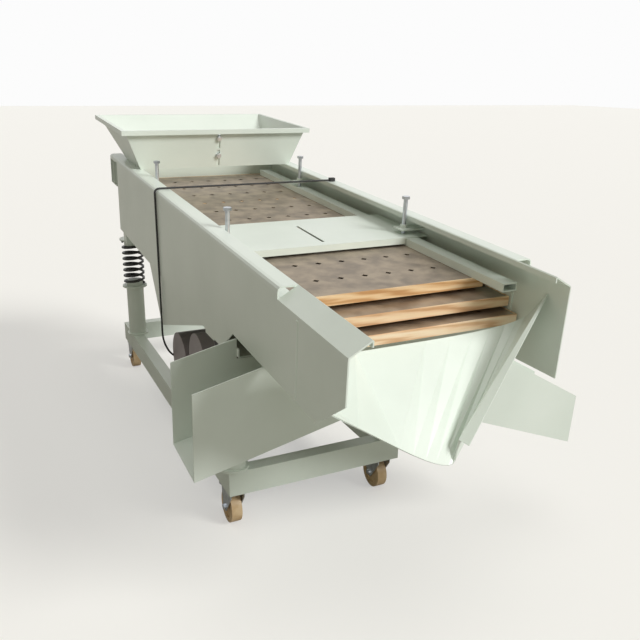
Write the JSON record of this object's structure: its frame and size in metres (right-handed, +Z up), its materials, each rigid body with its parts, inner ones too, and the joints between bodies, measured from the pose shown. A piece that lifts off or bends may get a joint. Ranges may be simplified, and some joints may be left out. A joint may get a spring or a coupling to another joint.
{
  "type": "vibrating sieve",
  "caption": "Inclined linear vibrating sieve on a wheeled base, with hopper, wood-framed screens, spring mounts, side chutes and a rolled front chute.",
  "frame": {"origin": "floor level, below the middle of the front rail of the base", "axes": "+Z up, -Y the discharge end, +Y the hopper end, +X to the right of someone facing the discharge end from the front"},
  "size_m": [1.11, 2.2579, 1.1167],
  "materials": {
    "green_white_paint": "satin",
    "grey_green_paint": "satin",
    "zinc": "satin",
    "polyurethane_tread": "satin",
    "black_spring": "satin",
    "pine": "matt",
    "screen_steel": "satin",
    "motor_paint": "satin",
    "bare_steel": "machined",
    "cord_sheath": "matt",
    "black_plastic": "matt"
  },
  "bodies": {
    "base": {"base_frame": "grey_green_paint", "front_spring_posts": "grey_green_paint", "rear_spring_posts": "grey_green_paint", "caster_top_plates": "zinc", "coil_spring_front_left": "black_spring", "coil_spring_rear_left": "black_spring", "coil_spring_front_right": "black_spring", "coil_spring_rear_right": "black_spring"},
    "fork_front_left": {"caster_fork_front_left": "zinc"},
    "wheel_front_left": {"caster_wheel_front_left": "polyurethane_tread"},
    "brake_front_left": {"caster_brake_front_left": "zinc"},
    "fork_rear_left": {"caster_fork_rear_left": "zinc"},
    "wheel_rear_left": {"caster_wheel_rear_left": "polyurethane_tread"},
    "brake_rear_left": {"caster_brake_rear_left": "zinc"},
    "fork_front_right": {"caster_fork_front_right": "zinc"},
    "wheel_front_right": {"caster_wheel_front_right": "polyurethane_tread"},
    "brake_front_right": {"caster_brake_front_right": "zinc"},
    "fork_rear_right": {"caster_fork_rear_right": "zinc"},
    "wheel_rear_right": {"caster_wheel_rear_right": "polyurethane_tread"},
    "brake_rear_right": {"caster_brake_rear_right": "zinc"},
    "sieve_box": {"left_side_plate": "green_white_paint", "right_side_plate": "green_white_paint", "motor_side_plates": "green_white_paint", "motor_seat": "green_white_paint", "rear_crossbeams": "green_white_paint", "rear_wall": "green_white_paint", "bottom_pan": "green_white_paint", "screen_guides": "green_white_paint", "front_spring_brackets": "green_white_paint", "rear_spring_brackets": "green_white_paint", "feed_hopper": "green_white_paint", "left_chute": "green_white_paint", "right_chute": "green_white_paint", "front_chute": "green_white_paint", "clamp_brackets_mid": "green_white_paint", "clamp_brackets_rear": "green_white_paint", "motor_front_housing": "motor_paint", "motor_front_covers": "motor_paint", "motor_rear_housing": "motor_paint", "motor_rear_covers": "motor_paint", "motor_cord": "cord_sheath", "cord_glands": "black_plastic", "screen_frame_lower": "pine", "screen_sheet_lower": "screen_steel"},
    "upper_screen": {"screen_frame_upper": "pine", "screen_sheet_upper": "screen_steel"},
    "middle_screen": {"screen_frame_middle": "pine", "screen_sheet_middle": "screen_steel"},
    "clamp_frame": {"clamp_bar_left": "green_white_paint", "clamp_bar_right": "green_white_paint", "cross_plate": "green_white_paint"},
    "screw_mid_left": {"clamp_screw_mid_left": "zinc"},
    "screw_mid_right": {"clamp_screw_mid_right": "zinc"},
    "screw_rear_left": {"clamp_screw_rear_left": "zinc"},
    "screw_rear_right": {"clamp_screw_rear_right": "zinc"},
    "gate": {"feed_gate": "green_white_paint", "gate_bolts": "zinc"},
    "rotor_rear": {"motor_rear_shaft": "bare_steel"},
    "rotor_front": {"motor_front_shaft": "bare_steel"}
  },
  "joints": [
    {"name": "swivel_front_left", "type": "hinge", "parent": "base", "child": "fork_front_left", "pos_m": [-0.247, 0.053, 0.118], "axis": [0, 0, 1], "continuous": true},
    {"name": "roll_front_left", "type": "hinge", "parent": "fork_front_left", "child": "wheel_front_left", "pos_m": [-0.247, 0.083, 0.05], "axis": [1, 0, 0], "continuous": true},
    {"name": "brake_pedal_front_left", "type": "hinge", "parent": "fork_front_left", "child": "brake_front_left", "pos_m": [-0.247, 0.103, 0.1067], "axis": [1, 0, 0], "range_deg": [0, 22]},
    {"name": "swivel_rear_left", "type": "hinge", "parent": "base", "child": "fork_rear_left", "pos_m": [-0.247, 1.402, 0.118], "axis": [0, 0, 1], "continuous": true},
    {"name": "roll_rear_left", "type": "hinge", "parent": "fork_rear_left", "child": "wheel_rear_left", "pos_m": [-0.247, 1.432, 0.05], "axis": [1, 0, 0], "continuous": true},
    {"name": "brake_pedal_rear_left", "type": "hinge", "parent": "fork_rear_left", "child": "brake_rear_left", "pos_m": [-0.247, 1.452, 0.1067], "axis": [1, 0, 0], "range_deg": [0, 22]},
    {"name": "swivel_front_right", "type": "hinge", "parent": "base", "child": "fork_front_right", "pos_m": [0.247, 0.053, 0.118], "axis": [0, 0, 1], "continuous": true},
    {"name": "roll_front_right", "type": "hinge", "parent": "fork_front_right", "child": "wheel_front_right", "pos_m": [0.247, 0.083, 0.05], "axis": [1, 0, 0], "continuous": true},
    {"name": "brake_pedal_front_right", "type": "hinge", "parent": "fork_front_right", "child": "brake_front_right", "pos_m": [0.247, 0.103, 0.1067], "axis": [1, 0, 0], "range_deg": [0, 22]},
    {"name": "swivel_rear_right", "type": "hinge", "parent": "base", "child": "fork_rear_right", "pos_m": [0.247, 1.402, 0.118], "axis": [0, 0, 1], "continuous": true},
    {"name": "roll_rear_right", "type": "hinge", "parent": "fork_rear_right", "child": "wheel_rear_right", "pos_m": [0.247, 1.432, 0.05], "axis": [1, 0, 0], "continuous": true},
    {"name": "brake_pedal_rear_right", "type": "hinge", "parent": "fork_rear_right", "child": "brake_rear_right", "pos_m": [0.247, 1.452, 0.1067], "axis": [1, 0, 0], "range_deg": [0, 22]},
    {"name": "sieve_bounce", "type": "slide", "parent": "base", "child": "sieve_box", "axis": [0, 0, 1], "range_m": [-0.006, 0.006], "stiffness_N_per_m": 156000, "springref_m": 0.02327, "deforming": ["coil_spring_front_left", "coil_spring_rear_left", "coil_spring_front_right", "coil_spring_rear_right"]},
    {"name": "upper_screen_draw", "type": "slide", "parent": "sieve_box", "child": "upper_screen", "axis": [0, -0.9986, -0.053], "range_m": [0, 0.3]},
    {"name": "middle_screen_draw", "type": "slide", "parent": "sieve_box", "child": "middle_screen", "axis": [0, -0.9986, -0.053], "range_m": [0, 0.06]},
    {"name": "clamp_lift", "type": "slide", "parent": "sieve_box", "child": "clamp_frame", "axis": [0, -0.053, 0.9986], "range_m": [0, 0.01]},
    {"name": "screw_lift_mid_left", "type": "slide", "parent": "sieve_box", "child": "screw_mid_left", "axis": [0, -0.053, 0.9986], "range_m": [0, 0.01]},
    {"name": "screw_lift_mid_right", "type": "slide", "parent": "sieve_box", "child": "screw_mid_right", "axis": [0, -0.053, 0.9986], "range_m": [0, 0.01]},
    {"name": "screw_lift_rear_left", "type": "slide", "parent": "sieve_box", "child": "screw_rear_left", "axis": [0, -0.053, 0.9986], "range_m": [0, 0.01]},
    {"name": "screw_lift_rear_right", "type": "slide", "parent": "sieve_box", "child": "screw_rear_right", "axis": [0, -0.053, 0.9986], "range_m": [0, 0.01]},
    {"name": "gate_lift", "type": "slide", "parent": "sieve_box", "child": "gate", "axis": [0, -0.2375, 0.9714], "range_m": [-0.03, 0.01]},
    {"name": "motor_spin_rear", "type": "hinge", "parent": "sieve_box", "child": "rotor_rear", "pos_m": [0, 0.45298, 0.39633], "axis": [1, 0, 0], "continuous": true},
    {"name": "motor_spin_front", "type": "hinge", "parent": "sieve_box", "child": "rotor_front", "pos_m": [0, 0.24862, 0.45983], "axis": [1, 0, 0], "continuous": true}
  ],
  "couplings": [
    {"joint": "screw_lift_mid_left", "follows": "clamp_lift", "ratio": 1},
    {"joint": "screw_lift_mid_right", "follows": "clamp_lift", "ratio": 1},
    {"joint": "screw_lift_rear_left", "follows": "clamp_lift", "ratio": 1},
    {"joint": "screw_lift_rear_right", "follows": "clamp_lift", "ratio": 1},
    {"joint": "motor_spin_front", "follows": "motor_spin_rear", "ratio": -1}
  ]
}
